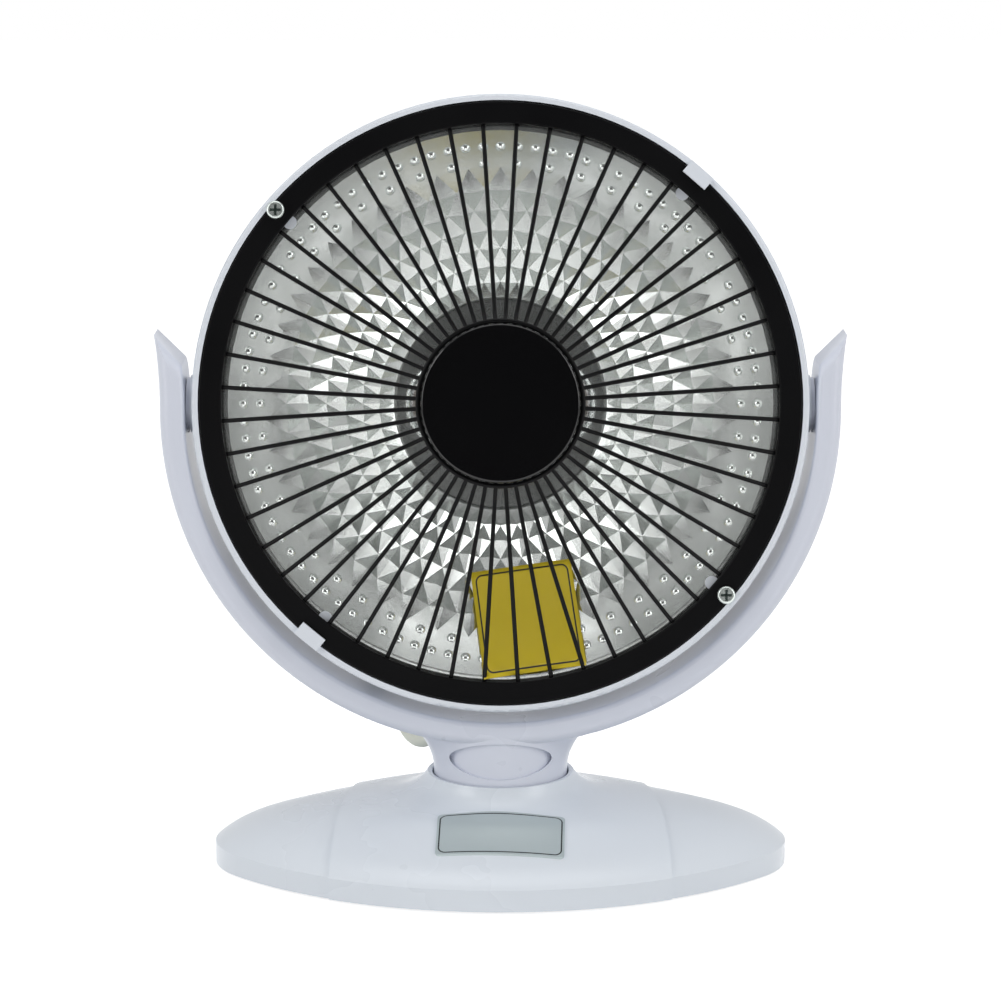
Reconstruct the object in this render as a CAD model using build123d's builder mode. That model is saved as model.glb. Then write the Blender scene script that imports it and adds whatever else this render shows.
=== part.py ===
"""Desk-top radiant dish heater: a tilting head in a swivelling yoke on a weighted base.

Millimetres, +Z up, the face looks towards -Y, the origin is on the table under the swivel axis.
The head is built on planes that share the tilted axis of the dish, so it stands tilted at rest.
"""
import os
from math import acos, cos, degrees, pi, radians, sin, sqrt, tan

from build123d import *

os.makedirs("parts", exist_ok=True)

# Head housing
head_diameter = 190.0
rest_tilt = 9.5
rim_front = 15.0
rim_depth = 8.0
rim_wall = 2.0
shell_wall = 2.2
bowl_radius = 49.0
bowl_back = 42.0
edge_round = 0.8
ledge_front = 11.0
ledge_thickness = 2.0
ledge_width = 5.4
overrun = 5.0

# Guard
guard_gap = 0.3
guard_ring_width = 6.9
guard_plate_front = 15.2
guard_plate_thickness = 1.2
guard_wall = 1.0
wire_count = 52
wire_diameter = 1.35
wire_first_angle = 3.6
wire_bow = 2.2
anchor_ring_diameter = 2.0
anchor_ring_inset = 1.6
inner_ring_radius = 25.2
inner_ring_diameter = 1.6
disc_radius = 24.3
disc_front = 26.0
disc_thickness = 1.8
disc_gap = 0.05
disc_rim_round = 0.8
wire_tail = 19.5
clamp_radius = 20.5
clamp_thickness = 1.2
stud_radius = 2.0
stud_length = 8.0
nut_across_flats = 7.0
nut_thickness = 3.2
thread_gap = 0.05

# Guard screws and hooks, at four stations round the rim
screw_rim_inset = 4.1
screw_angles = (139.3, 319.7)
hook_angles = (49.1, 230.7)
screw_head_diameter = 5.5
screw_head_height = 2.2
screw_shank_diameter = 2.9
screw_length = 10.0
screw_slot_depth = 1.0
cross_length_share = 0.62
cross_width_share = 0.15
screw_boss_radius = 3.4
screw_boss_depth = 8.0
hook_length = 8.8
hook_reach = 2.4
hook_thickness = 1.6
notch_radius = 2.1
notch_rim_inset = 9.6

# Reflector
sheet_thickness = 0.8
reflector_flat_radius = 33.5
reflector_flat_depth = 28.0
mouth_rim_inset = 11.0
reflector_bow = 5.5
flange_gap = 0.4
sticker_width = 32.0
sticker_height = 33.0
sticker_thickness = 0.25
sticker_centre_x = 8.5
sticker_mouth_inset = 16.0
sticker_turn = 10.0
sticker_corner = 3.0

# Heating element behind the disc
tube_diameter = 8.0
tube_wall = 1.0
loop_half_length = 26.0
loop_half_height = 10.0
loop_corner = 9.8
loop_level = -8.0
leg_half_spacing = 7.0
leg_bend = 7.0
leg_back = -38.5
leg_hole_gap = 0.4
filament_diameter = 3.6
cap_radius = 4.8
cap_thickness = 1.8
holder_width = 34.0
holder_height = 15.0
holder_thickness = 7.0
holder_corner = 3.0
bracket_width = 50.0
bracket_height = 12.0
bracket_thickness = 1.0
element_screw_spacing = 42.0
element_screw_head = 5.0
element_screw_shank = 2.5
element_screw_length = 3.5
cutout_radius = 8.0
cutout_thickness = 6.0
cutout_step_share = 0.6
cutout_x = -24.0
cutout_y = 10.0
block_width = 20.0
block_height = 9.0
block_thickness = 7.0
block_x = 24.0
block_y = 8.0
block_pole_radius = 1.6

# Back cover of the head
cover_radius = 42.0
cover_thickness = 2.4
cover_lap = 7.0
cover_vent_length = 22.0
cover_vent_width = 2.4
cover_vent_pitch = 4.8
cover_vent_rows = 5
cover_vent_spacing = 40.0
cover_vent_y = 1.0
bowl_vent_count = 36
bowl_vent_width = 3.0
bowl_vent_length = 19.0
bowl_vent_rim_inset = 25.0
cover_screw_circle = 38.5
cover_screw_angles = (30.0, 150.0, 270.0)
cover_screw_head = 4.8
cover_screw_head_height = 1.6
cover_screw_shank = 2.4
cover_screw_length = 8.0
cover_boss_radius = 3.0
cover_boss_depth = 6.0
hood_width = 17.0
hood_height = 20.0
hood_depth = 11.0
hood_wall = 2.0
hood_x = -12.0
hood_y = -24.0

# Power switch in the back cover
switch_width = 21.0
switch_height = 15.0
switch_body_depth = 10.5
switch_flange = 1.5
switch_flange_thickness = 1.6
switch_wall = 1.4
rocker_gap = 0.3
rocker_rise = 3.0
rocker_dish = 1.6
rocker_depth = 5.0
rocker_tail_depth = 2.0
rocker_tilt = 9.0
rocker_swing = 0.8
rocker_pin_radius = 1.2
switch_y = 25.0

# Yoke
yoke_clearance = 2.3
yoke_thickness = 7.8
yoke_foot_lowest = 42.9
yoke_tip_half_width = 9.0
yoke_tip_height = 22.5
yoke_tip_flare = 1.8
yoke_tip_drop = 9.0
yoke_outer_round = 3.6
yoke_inner_round = 1.4
yoke_wall = 2.4
yoke_channel_half_width = 7.0
yoke_channel_rise = 10.0
neck_radius = 21.1
neck_fillet = 19.0
neck_fillet_shares = (0.25, 0.5, 0.75, 1.0)
neck_bore = 17.5
neck_floor_thickness = 2.4
neck_roof_height = 40.0
spigot_radius = 9.0
spigot_bore = 5.0
spigot_length = 12.0
pad_half_width = 16.0
pad_half_height = 5.8
pad_height = 38.3
pad_depth = 0.8
yoke_screw_angles = (200.0, 235.0, 305.0, 340.0)
yoke_screw_head = 4.0
yoke_screw_shank = 2.2
yoke_screw_head_height = 1.6
yoke_screw_seat = 5.2
yoke_screw_length = 11.0
yoke_screw_boss_radius = 3.2
yoke_seam_gap = 0.02

# Pivots
pivot_radius = 3.0
running_gap = 0.05
pivot_boss_radius = 9.0
pivot_boss_depth = 8.0
pivot_flange_radius = 5.0
pivot_flange_thickness = 2.0
washer_thickness = 1.0
washer_gap = 0.1

# Base
base_half_length = 90.6
base_half_depth = 57.0
base_tip_radius = 30.0
base_lift = 1.2
base_side_height = 8.0
base_wall = 2.2
collar_height = 30.4
collar_wall = 0.4
collar_gap = 0.5
collar_round = 0.4
collar_split = 60.0
collar_floor = 24.0
collar_floor_thickness = 3.0
saddle_step = 0.7
saddle_front_half_width = 53.0
saddle_middle_half_width = 49.0
saddle_back_half_width = 37.0
dome_heights = (12.0, 15.6, 20.3, 25.0)
dome_length_shares = (0.935, 0.84, 0.61, 0.31)
dome_depth_shares = (0.9, 0.77, 0.61, 0.43)
dome_tip_shares = (0.93, 0.75, 0.58, 0.44)
bottom_thickness = 2.5
bottom_lift = 1.5
bottom_gap = 0.3
foot_radius = 7.0
foot_sink = 0.5
foot_end_inset = 32.6
foot_side_inset = 30.0
base_screw_end_inset = 20.6
base_screw_y = 14.0
base_screw_head = 5.6
base_screw_head_height = 1.6
base_screw_shank = 2.8
base_screw_length = 6.5
base_boss_radius = 3.6
ballast_end_inset = 48.6
ballast_side_inset = 28.0
ballast_thickness = 5.0
ballast_corner = 6.0
ballast_screw_inset = 8.0
ballast_screw_tip = 0.5
swivel_washer_radius = 15.0
swivel_washer_thickness = 1.2
swivel_nut_across = 24.0
swivel_nut_thickness = 5.0
plate_width = 39.5
plate_height = 18.0
plate_thickness = 0.4
plate_front_inset = 11.0
plate_turn = -2.0
plate_corner = 1.5

# Tip-over switch in the base
tip_end_inset = 30.6
tip_body_width = 18.0
tip_body_depth = 10.0
tip_body_height = 6.0
tip_roof = 1.4
plunger_radius = 2.6
plunger_flange_radius = 3.8
plunger_flange_thickness = 1.0
plunger_travel = 3.0
plunger_clear = 0.3

# Supply inlet at the back of the base
inlet_width = 7.0
inlet_height = 3.4
inlet_wall = 0.8
inlet_length = 9.0
inlet_z = 4.6
cable_clamp_width = 22.0
cable_clamp_depth = 7.0
cable_clamp_thickness = 2.6
cable_clamp_back = 12.0

# Lead between the neck and the head
lead_diameter = 5.4
lead_exit_angle = 128.0
lead_exit_height = 35.8
grommet_wall = 1.3
grommet_flange = 0.8
grommet_flange_thickness = 1.2
grommet_stand = 1.1
lead_tail = 4.0
bend_share = 0.45
lead_drop = 13.0
lead_straight = 10.0
lead_middle_points = [(-24.0, 43.5, 78.0), (-34.0, 45.0, 66.0), (-36.5, 45.0, 50.0), (-29.5, 37.0, 29.0)]

# Places worked out from the sizes above
head_radius = head_diameter / 2
yoke_inner_radius = head_radius + yoke_clearance
yoke_outer_radius = yoke_inner_radius + yoke_thickness
pivot_height = yoke_foot_lowest + yoke_outer_radius
yoke_foot_half_width = neck_radius
screw_circle_radius = head_radius - screw_rim_inset
notch_circle_radius = head_radius - notch_rim_inset
reflector_mouth_radius = head_radius - mouth_rim_inset
bowl_vent_circle = head_radius - bowl_vent_rim_inset
sticker_centre_y = sticker_mouth_inset - reflector_mouth_radius
collar_radius = neck_radius + collar_gap + collar_wall
foot_x = base_half_length - foot_end_inset
foot_y = base_half_depth - foot_side_inset
base_screw_x = base_half_length - base_screw_end_inset
ballast_length = 2 * (base_half_length - ballast_end_inset)
ballast_depth = 2 * (base_half_depth - ballast_side_inset)
ballast_screw_x = ballast_length / 2 - ballast_screw_inset
tip_x = tip_end_inset - base_half_length
plate_front = base_half_depth - plate_front_inset
neck_fillet_turn = degrees(acos((neck_radius + neck_fillet) / (yoke_outer_radius + neck_fillet)))
neck_fillet_level = pivot_height - (yoke_outer_radius + neck_fillet) * sin(radians(neck_fillet_turn))
tilt_sin = sin(radians(rest_tilt))
tilt_cos = cos(radians(rest_tilt))
pivot = Vector(0, 0, pivot_height)
face_normal = Vector(0, -tilt_cos, tilt_sin)
face_up = Vector(0, tilt_sin, tilt_cos)
head_plane = Plane(origin=pivot, x_dir=(1, 0, 0), z_dir=face_normal)
section_plane = Plane(origin=pivot, x_dir=(1, 0, 0), z_dir=(0, -tilt_sin, -tilt_cos))
head_axis = Axis(pivot, face_normal)


def head_point(x, y, forward):
    """A point given across, up and forward along the tilted head, in the object's frame."""
    return pivot + Vector(x, 0, 0) + face_up * y + face_normal * forward


rim_back = rim_front - rim_depth
guard_outer = head_radius - rim_wall - guard_gap
guard_inner = guard_outer - guard_ring_width
guard_plate_back = guard_plate_front - guard_plate_thickness
flange_front = ledge_front + sheet_thickness
wire_level = flange_front + anchor_ring_diameter / 2
anchor_radius = guard_inner + anchor_ring_inset
disc_back = disc_front - disc_thickness
hub_level = disc_back - disc_gap - wire_diameter / 2
clamp_front = hub_level - wire_diameter / 2 - disc_gap
reflector_flat = -reflector_flat_depth
back_face = -bowl_back
yoke_middle_radius = (yoke_outer_radius + yoke_inner_radius) / 2
boss_face = yoke_inner_radius - washer_thickness - 2 * washer_gap
hook_under = guard_plate_front + disc_gap
hook_inner = guard_outer - hook_reach
hook_outer = head_radius - guard_gap
cover_back = back_face - cover_thickness
lead_level = cover_back - hood_depth / 2
hood_low = hood_y - hood_height / 2
grommet_radius = lead_diameter / 2 + grommet_wall
rocker_centre = head_point(0, switch_y, cover_back)
rocker_half = switch_height / 2 - switch_wall - rocker_gap - rocker_swing
rocker_edge = rocker_rise
rocker_tail = -rocker_tail_depth
rocker_along = -face_up * cos(radians(rocker_tilt)) - face_normal * sin(radians(rocker_tilt))
neck_bottom = collar_floor + swivel_washer_thickness + 2 * washer_gap
tip_outer_height = pivot_height + yoke_tip_height
yoke_top = tip_outer_height + overrun
tip_inner_height = tip_outer_height - yoke_tip_drop
yoke_reach = yoke_outer_radius + yoke_tip_flare
yoke_channel_width = yoke_outer_radius - yoke_inner_radius - 2 * yoke_wall
pin_flange_face = yoke_inner_radius + yoke_wall + thread_gap
bottom_top = bottom_lift + bottom_thickness
lead_exit_plane = Plane(
    origin=(neck_radius * cos(radians(lead_exit_angle)), neck_radius * sin(radians(lead_exit_angle)), lead_exit_height),
    z_dir=(cos(radians(lead_exit_angle)), sin(radians(lead_exit_angle)), 0))
hood_exit_plane = Plane(origin=head_point(hood_x, hood_low, lead_level), z_dir=-face_up)
yoke_foot_height = pivot_height - yoke_inner_radius
loop_points = [head_point(*place) for place in (
    (-leg_half_spacing, -loop_half_height, leg_back), (-leg_half_spacing, -loop_half_height, loop_level),
    (-loop_half_length, -loop_half_height, loop_level), (-loop_half_length, loop_half_height, loop_level),
    (loop_half_length, loop_half_height, loop_level), (loop_half_length, -loop_half_height, loop_level),
    (leg_half_spacing, -loop_half_height, loop_level), (leg_half_spacing, -loop_half_height, leg_back))]
loop_radii = [leg_bend, loop_corner, loop_corner, loop_corner, loop_corner, leg_bend]


def finish(piece, name):
    piece.part.label = name
    export_step(piece.part, f"parts/{name}.step")


def from_pivot(place):
    """Distance of a point from the yoke's own centre, seen from the front."""
    return sqrt(place.X**2 + (place.Z - pivot_height)**2)


def on_yoke(angle):
    """Front-view place of a point on the strap's middle line."""
    return (yoke_middle_radius * cos(radians(angle)), pivot_height + yoke_middle_radius * sin(radians(angle)))


def on_circle(radius, angle):
    return (radius * cos(radians(angle)), radius * sin(radians(angle)))


def bowl_profile(rim_radius, arc_radius, back, front):
    """Closed half section of a bowl: flat back, a quarter-round wall and a straight rim."""
    reach = rim_radius - arc_radius + sqrt(arc_radius**2 - (rim_back - back)**2)
    with BuildSketch() as section:
        with BuildLine():
            Line((0, back), (reach, back))
            RadiusArc((reach, back), (rim_radius, rim_back), -arc_radius)
            Line((rim_radius, rim_back), (rim_radius, front))
            Line((rim_radius, front), (0, front))
            Line((0, front), (0, back))
        make_face()
    return section.sketch


def dish_profile(front, back, flange_radius):
    """Half section of a dish that follows the reflector, from a back shift to a front shift."""
    with BuildSketch() as section:
        with BuildLine():
            flats = []
            mouths = []
            for shift in (front, back):
                flats.append((reflector_flat_radius, reflector_flat + shift))
                mouths.append((reflector_mouth_radius, flange_front + shift))
                Line((0, reflector_flat + shift), flats[-1])
                SagittaArc(flats[-1], mouths[-1], -reflector_bow)
                Line(mouths[-1], (flange_radius, flange_front + shift))
            Line((flange_radius, flange_front + front), (flange_radius, flange_front + back))
            Line((0, reflector_flat + front), (0, reflector_flat + back))
        make_face()
    return section.sketch


# Head shell: bowl, rim, reflector ledge, screw bosses, hooks, pivot bosses and vents
with BuildPart() as head_shell:
    with BuildSketch(section_plane):
        add(bowl_profile(head_radius, bowl_radius, back_face, rim_front))
    revolve(axis=head_axis)
    fillet(head_shell.edges().filter_by(GeomType.CIRCLE).sort_by(head_axis)[-1], edge_round)
    with BuildSketch(section_plane):
        add(bowl_profile(head_radius - rim_wall, bowl_radius - shell_wall, back_face + shell_wall, rim_front + overrun))
    revolve(axis=head_axis, mode=Mode.SUBTRACT)
    for side in (-1, 1):
        with BuildSketch(Plane(origin=(side * boss_face, 0, pivot_height), x_dir=(0, 1, 0), z_dir=(side, 0, 0))):
            Circle(pivot_boss_radius)
        extrude(amount=-pivot_boss_depth)
    with BuildSketch(head_plane.offset(ledge_front)):
        Circle(head_radius - edge_round)
        Circle(head_radius - rim_wall - ledge_width, mode=Mode.SUBTRACT)
    extrude(amount=-ledge_thickness)
    with BuildSketch(head_plane.offset(ledge_front)):
        for angle in screw_angles:
            with Locations(on_circle(screw_circle_radius, angle)):
                Circle(screw_boss_radius)
    extrude(amount=-screw_boss_depth)
    with BuildSketch(head_plane.offset(back_face)):
        for angle in cover_screw_angles:
            with Locations(on_circle(cover_screw_circle, angle)):
                Circle(cover_boss_radius)
    extrude(amount=cover_boss_depth + shell_wall)
    for low, inner in ((rim_front - edge_round, head_radius - rim_wall), (hook_under, hook_inner)):
        with BuildSketch(head_plane.offset(low)):
            for angle in hook_angles:
                with Locations(on_circle((inner + hook_outer) / 2, angle)):
                    Rectangle(hook_outer - inner, hook_length, rotation=angle)
        extrude(amount=hook_under + hook_thickness - low)
    with BuildSketch(head_plane.offset(back_face - overrun)):
        Circle(cover_radius - cover_lap)
        with PolarLocations(bowl_vent_circle, bowl_vent_count):
            SlotOverall(bowl_vent_length, bowl_vent_width)
    extrude(amount=bowl_back, mode=Mode.SUBTRACT)
    with BuildSketch(head_plane.offset(back_face)):
        for angle in cover_screw_angles:
            with Locations(on_circle(cover_screw_circle, angle)):
                Circle(cover_boss_radius)
                Circle(cover_screw_shank / 2 + thread_gap, mode=Mode.SUBTRACT)
    extrude(amount=cover_boss_depth + shell_wall)
    with BuildSketch(head_plane.offset(back_face)):
        for angle in cover_screw_angles:
            with Locations(on_circle(cover_screw_circle, angle)):
                Circle(cover_screw_shank / 2 + thread_gap)
    extrude(amount=cover_boss_depth + shell_wall, mode=Mode.SUBTRACT)
    with BuildSketch(head_plane.offset(rim_front)):
        for angle in screw_angles:
            with Locations(on_circle(screw_circle_radius, angle)):
                Circle(screw_shank_diameter / 2 + thread_gap)
    extrude(amount=-screw_length - overrun, mode=Mode.SUBTRACT)
    for side in (-1, 1):
        with BuildSketch(Plane(origin=(side * yoke_inner_radius, 0, pivot_height), z_dir=(side, 0, 0))):
            Circle(pivot_radius + running_gap)
        extrude(amount=-pivot_boss_depth - overrun, mode=Mode.SUBTRACT)
finish(head_shell, "head_shell")

# Guard ring: flat black plate over a rear wall that stands on the reflector's flange
with BuildPart() as guard_ring:
    with BuildSketch(head_plane.offset(flange_front)):
        Circle(guard_outer)
        Circle(guard_outer - guard_wall, mode=Mode.SUBTRACT)
    extrude(amount=guard_plate_back - flange_front)
    with BuildSketch(head_plane.offset(guard_plate_back)):
        Circle(guard_outer)
        Circle(guard_inner, mode=Mode.SUBTRACT)
    extrude(amount=guard_plate_thickness)
    with BuildSketch(head_plane.offset(guard_plate_front)):
        for angle in screw_angles:
            with Locations(on_circle(screw_circle_radius, angle)):
                Circle(screw_shank_diameter / 2 + thread_gap)
    extrude(amount=flange_front - guard_plate_front, mode=Mode.SUBTRACT)
    fillet(guard_ring.edges().filter_by(GeomType.CIRCLE).group_by(head_axis)[-1].sort_by(SortBy.RADIUS)[-2:],
           guard_plate_thickness / 3)
finish(guard_ring, "guard_ring")

# Guard wires: bowed spokes welded to a small ring at the hub and an anchor ring behind the guard ring
with BuildPart() as spoke:
    with BuildLine(Plane.XZ) as spoke_path:
        SagittaArc((wire_tail, hub_level), (anchor_radius, wire_level), wire_bow)
    with BuildSketch(Plane(origin=spoke_path.line @ 0, z_dir=spoke_path.line % 0)):
        Circle(wire_diameter / 2)
    sweep(path=spoke_path.line)

with BuildPart(head_plane) as guard_wires:
    with PolarLocations(0, wire_count, start_angle=wire_first_angle):
        add(spoke.part)
    with BuildSketch(section_plane):
        with Locations((anchor_radius, wire_level)):
            Circle(anchor_ring_diameter / 2)
        with Locations((inner_ring_radius, hub_level)):
            Circle(inner_ring_diameter / 2)
    revolve(axis=head_axis)
finish(guard_wires, "guard_wires")

# Centre disc with its stud, the washer plate behind the wires and its nut
with BuildPart() as guard_disc:
    with BuildSketch(head_plane.offset(disc_back)):
        Circle(disc_radius)
    extrude(amount=disc_thickness)
    fillet(guard_disc.edges().filter_by(GeomType.CIRCLE).sort_by(head_axis)[-1], disc_rim_round)
    with BuildSketch(head_plane.offset(disc_back)):
        Circle(stud_radius)
    extrude(amount=-stud_length)
finish(guard_disc, "guard_disc")

with BuildPart() as disc_clamp:
    with BuildSketch(head_plane.offset(clamp_front)):
        Circle(clamp_radius)
        Circle(stud_radius + thread_gap, mode=Mode.SUBTRACT)
    extrude(amount=-clamp_thickness)
finish(disc_clamp, "disc_clamp")

with BuildPart() as disc_nut:
    with BuildSketch(head_plane.offset(clamp_front - clamp_thickness)):
        RegularPolygon(nut_across_flats / 2, 6, major_radius=False)
        Circle(stud_radius + thread_gap, mode=Mode.SUBTRACT)
    extrude(amount=-nut_thickness)
finish(disc_nut, "disc_nut")


def screw_solids(plane, places, head_diameter, head_height, shank_diameter, length, slot_depth):
    """Cross-slotted screws whose heads stand on a plane and whose shanks run behind it."""
    with BuildPart() as screws:
        with BuildSketch(plane):
            for place in places:
                with Locations(place):
                    Circle(head_diameter / 2)
        extrude(amount=head_height)
        fillet(screws.edges().filter_by(GeomType.CIRCLE).group_by(Axis(plane.origin, plane.z_dir))[-1],
               head_height / 3)
        with BuildSketch(plane):
            for place in places:
                with Locations(place):
                    Circle(shank_diameter / 2)
        extrude(amount=-length)
        with BuildSketch(plane.offset(head_height)):
            for place in places:
                with Locations(place):
                    Rectangle(head_diameter * cross_length_share, head_diameter * cross_width_share)
                    Rectangle(head_diameter * cross_width_share, head_diameter * cross_length_share)
        extrude(amount=-slot_depth, mode=Mode.SUBTRACT)
    return screws


guard_screws = screw_solids(
    head_plane.offset(guard_plate_front), [on_circle(screw_circle_radius, angle) for angle in screw_angles],
    screw_head_diameter, screw_head_height, screw_shank_diameter, screw_length, screw_slot_depth)
finish(guard_screws, "guard_screws")

# Reflector: pressed dish with a flat centre, a rim flange, leg holes and rim notches
with BuildPart() as reflector:
    with BuildSketch(section_plane):
        add(dish_profile(0, -sheet_thickness, head_radius - rim_wall - flange_gap))
    revolve(axis=head_axis)
    with BuildSketch(head_plane.offset(reflector_flat)):
        with Locations((-leg_half_spacing, -loop_half_height), (leg_half_spacing, -loop_half_height)):
            Circle(tube_diameter / 2 + leg_hole_gap)
        with Locations((-element_screw_spacing / 2, -loop_half_height), (element_screw_spacing / 2, -loop_half_height)):
            Circle(element_screw_shank / 2 + thread_gap)
    extrude(amount=overrun, both=True, mode=Mode.SUBTRACT)
    with BuildSketch(head_plane.offset(flange_front)):
        for angle in screw_angles:
            with Locations(on_circle(screw_circle_radius, angle)):
                Circle(screw_shank_diameter / 2 + flange_gap)
        for angle in screw_angles + hook_angles:
            with Locations(on_circle(notch_circle_radius, angle)):
                Circle(notch_radius)
    extrude(amount=overrun, both=True, mode=Mode.SUBTRACT)
finish(reflector, "reflector")

# Plain yellow sticker that follows the dish
with BuildPart() as dish_sticker:
    with BuildSketch(section_plane):
        add(dish_profile(sticker_thickness, 0, reflector_mouth_radius + overrun))
    revolve(axis=head_axis)
    with BuildSketch(head_plane.offset(reflector_flat)):
        with Locations(Location((sticker_centre_x, sticker_centre_y), sticker_turn)):
            RectangleRounded(sticker_width, sticker_height, sticker_corner)
    extrude(amount=reflector_flat_depth + rim_front, mode=Mode.INTERSECT)
finish(dish_sticker, "dish_sticker")

# Heating element: a quartz loop with the wound filament inside, its end caps, holder and bracket
with BuildPart() as quartz_tube:
    with BuildLine() as loop_path:
        FilletPolyline(*loop_points, radius=loop_radii)
    with BuildSketch(Plane(origin=loop_path.line @ 0, z_dir=loop_path.line % 0)):
        Circle(tube_diameter / 2)
        Circle(tube_diameter / 2 - tube_wall, mode=Mode.SUBTRACT)
    sweep(path=loop_path.line)
finish(quartz_tube, "quartz_tube")

with BuildPart() as heating_filament:
    with BuildSketch(Plane(origin=loop_path.line @ 0, z_dir=loop_path.line % 0)):
        Circle(filament_diameter / 2)
    sweep(path=loop_path.line)
finish(heating_filament, "heating_filament")

with BuildPart() as tube_caps:
    with BuildSketch(head_plane.offset(leg_back)):
        with Locations((-leg_half_spacing, -loop_half_height), (leg_half_spacing, -loop_half_height)):
            Circle(cap_radius)
    extrude(amount=-cap_thickness)
finish(tube_caps, "tube_caps")

with BuildPart() as element_bracket:
    with BuildSketch(head_plane.offset(reflector_flat - sheet_thickness)):
        with Locations((0, -loop_half_height)):
            RectangleRounded(bracket_width, bracket_height, holder_corner)
        with Locations((-leg_half_spacing, -loop_half_height), (leg_half_spacing, -loop_half_height)):
            Circle(tube_diameter / 2 + leg_hole_gap, mode=Mode.SUBTRACT)
        with Locations((-element_screw_spacing / 2, -loop_half_height), (element_screw_spacing / 2, -loop_half_height)):
            Circle(element_screw_shank / 2 + thread_gap, mode=Mode.SUBTRACT)
    extrude(amount=-bracket_thickness)
finish(element_bracket, "element_bracket")

with BuildPart() as element_holder:
    with BuildSketch(head_plane.offset(reflector_flat - sheet_thickness - bracket_thickness)):
        with Locations((0, -loop_half_height)):
            RectangleRounded(holder_width, holder_height, holder_corner)
        with Locations((-leg_half_spacing, -loop_half_height), (leg_half_spacing, -loop_half_height)):
            Circle(tube_diameter / 2 + thread_gap, mode=Mode.SUBTRACT)
    extrude(amount=-holder_thickness)
finish(element_holder, "element_holder")

element_screws = screw_solids(
    Plane(origin=head_point(0, -loop_half_height, reflector_flat - sheet_thickness - bracket_thickness),
          x_dir=(-1, 0, 0), z_dir=-face_normal),
    [(-element_screw_spacing / 2, 0), (element_screw_spacing / 2, 0)],
    element_screw_head, cover_screw_head_height, element_screw_shank,
    bracket_thickness + sheet_thickness, screw_slot_depth)
finish(element_screws, "element_screws")

with BuildPart() as thermal_cutout:
    with BuildSketch(head_plane.offset(reflector_flat - sheet_thickness)):
        with Locations((cutout_x, cutout_y)):
            Circle(cutout_radius)
    extrude(amount=-cutout_thickness / 2)
    with BuildSketch(head_plane.offset(reflector_flat - sheet_thickness - cutout_thickness / 2)):
        with Locations((cutout_x, cutout_y)):
            Circle(cutout_radius * cutout_step_share)
    extrude(amount=-cutout_thickness / 2)
finish(thermal_cutout, "thermal_cutout")

with BuildPart() as terminal_block:
    with BuildSketch(head_plane.offset(reflector_flat - sheet_thickness)):
        with Locations((block_x, block_y)):
            RectangleRounded(block_width, block_height, block_pole_radius)
    extrude(amount=-block_thickness)
    with BuildSketch(head_plane.offset(reflector_flat - sheet_thickness - block_thickness)):
        with Locations((block_x, block_y)):
            with GridLocations(block_width / 3, 0, 3, 1):
                Circle(block_pole_radius)
    extrude(amount=block_thickness / 2, mode=Mode.SUBTRACT)
finish(terminal_block, "terminal_block")

# Back cover with vents, the switch opening and the hood where the lead comes in
with BuildPart() as back_cover:
    with BuildSketch(head_plane.offset(back_face)):
        Circle(cover_radius)
    extrude(amount=-cover_thickness)
    fillet(back_cover.edges().filter_by(GeomType.CIRCLE).sort_by(head_axis)[0], cover_thickness / 3)
    with BuildSketch(head_plane.offset(cover_back)):
        with Locations((hood_x, hood_y)):
            RectangleRounded(hood_width, hood_height, hood_wall)
    extrude(amount=-hood_depth)
    fillet(back_cover.edges().group_by(head_axis)[0], hood_wall / 2)
    with BuildSketch(head_plane.offset(back_face)):
        with Locations((hood_x, hood_y)):
            Rectangle(hood_width - 2 * hood_wall, hood_height - 2 * hood_wall)
    extrude(amount=-cover_thickness - hood_depth + hood_wall, mode=Mode.SUBTRACT)
    with BuildSketch(head_plane.offset(back_face)):
        with Locations((0, switch_y)):
            Rectangle(switch_width + 2 * thread_gap, switch_height + 2 * thread_gap)
        with Locations((cover_vent_spacing / 2, cover_vent_y)):
            with GridLocations(0, cover_vent_pitch, 1, cover_vent_rows):
                SlotOverall(cover_vent_length, cover_vent_width)
        with Locations((-cover_vent_spacing / 2, cover_vent_y)):
            with GridLocations(0, cover_vent_pitch, 1, cover_vent_rows):
                SlotOverall(cover_vent_length, cover_vent_width)
        for angle in cover_screw_angles:
            with Locations(on_circle(cover_screw_circle, angle)):
                Circle(cover_screw_shank / 2 + thread_gap)
    extrude(amount=-cover_thickness, mode=Mode.SUBTRACT)
    with BuildSketch(hood_exit_plane):
        Circle(grommet_radius + thread_gap)
    extrude(amount=hood_wall, both=True, mode=Mode.SUBTRACT)
finish(back_cover, "back_cover")

cover_screws = screw_solids(
    Plane(origin=head_point(0, 0, cover_back), x_dir=(-1, 0, 0), z_dir=-face_normal),
    [on_circle(cover_screw_circle, 180 - angle) for angle in cover_screw_angles],
    cover_screw_head, cover_screw_head_height, cover_screw_shank, cover_screw_length, screw_slot_depth)
finish(cover_screws, "cover_screws")

# Power switch: a body clipped in the cover and a rocker that turns on a pin across it
with BuildPart() as switch_body:
    with BuildSketch(head_plane.offset(cover_back)):
        with Locations((0, switch_y)):
            RectangleRounded(switch_width + 2 * switch_flange, switch_height + 2 * switch_flange, switch_flange)
    extrude(amount=-switch_flange_thickness)
    with BuildSketch(head_plane.offset(cover_back)):
        with Locations((0, switch_y)):
            Rectangle(switch_width, switch_height)
    extrude(amount=switch_body_depth)
    with BuildSketch(head_plane.offset(cover_back - switch_flange_thickness)):
        with Locations((0, switch_y)):
            Rectangle(switch_width - 2 * switch_wall, switch_height - 2 * switch_wall)
    extrude(amount=rocker_depth + switch_flange_thickness + rocker_gap, mode=Mode.SUBTRACT)
    with BuildSketch(Plane(origin=rocker_centre, x_dir=face_up, z_dir=(1, 0, 0))):
        Circle(rocker_pin_radius)
    extrude(amount=switch_width / 2 - switch_wall / 2, both=True)
finish(switch_body, "switch_body")

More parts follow.
